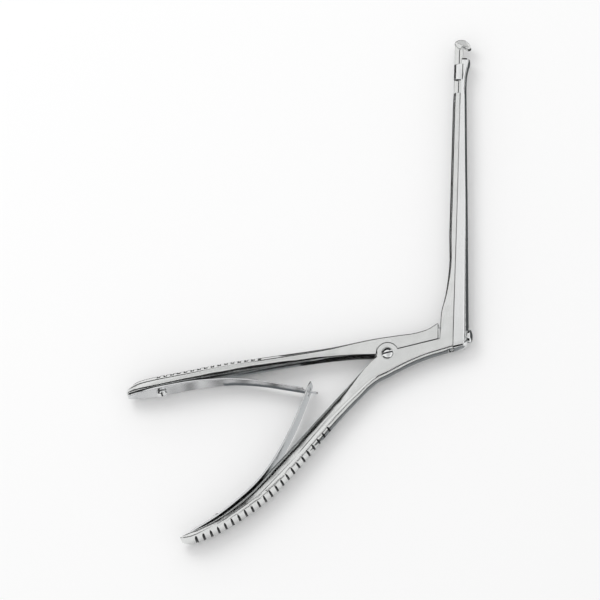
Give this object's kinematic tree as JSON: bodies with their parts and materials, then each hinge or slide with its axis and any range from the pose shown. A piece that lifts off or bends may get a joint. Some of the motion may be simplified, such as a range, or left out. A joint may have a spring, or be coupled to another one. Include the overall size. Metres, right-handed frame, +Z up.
{
  "type": "bone punch",
  "caption": "Surgical bone punch with a sliding shaft, an up-turned biting tip, serrated plier handles and interlocking leaf springs.",
  "frame": {"origin": "centre of the bounding box, on the surface the instrument lies on", "axes": "+Y along the shaft toward the biting tip, +X from the handles' ends toward the back of the slider, +Z up toward the head of the joint screw"},
  "size_m": [0.1738, 0.2634, 0.0131],
  "materials": {
    "forged_steel": "fine satin stainless steel with polished edges",
    "slider_steel": "fine satin stainless steel",
    "spring_steel": "polished spring steel",
    "screw_steel": "polished stainless steel"
  },
  "bodies": {
    "frame": {"fixed_shaft": "forged_steel", "pivot_screw": "screw_steel", "rear_leaf": "spring_steel", "rear_spring_screw": "screw_steel"},
    "lever": {"front_handle": "forged_steel", "front_leaf": "spring_steel", "front_spring_screw": "screw_steel"},
    "sliding_shaft": {"slider": "slider_steel", "slider_screw": "screw_steel"}
  },
  "joints": [
    {"name": "handle_hinge", "type": "hinge", "parent": "frame", "child": "lever", "pos_m": [0.04464, -0.03455, 0.00654], "axis": [0, 0, 1], "range_deg": [0, 7.22], "stiffness_Nm_per_rad": 1, "springref_deg": -17.19, "deforming": ["front_leaf", "rear_leaf"]},
    {"name": "shaft_slide", "type": "slide", "parent": "frame", "child": "sliding_shaft", "axis": [0, 1, 0], "range_m": [0, 0.0044]}
  ],
  "couplings": [
    {"joint": "shaft_slide", "follows": "handle_hinge", "m_per_rad": 0.0349}
  ]
}
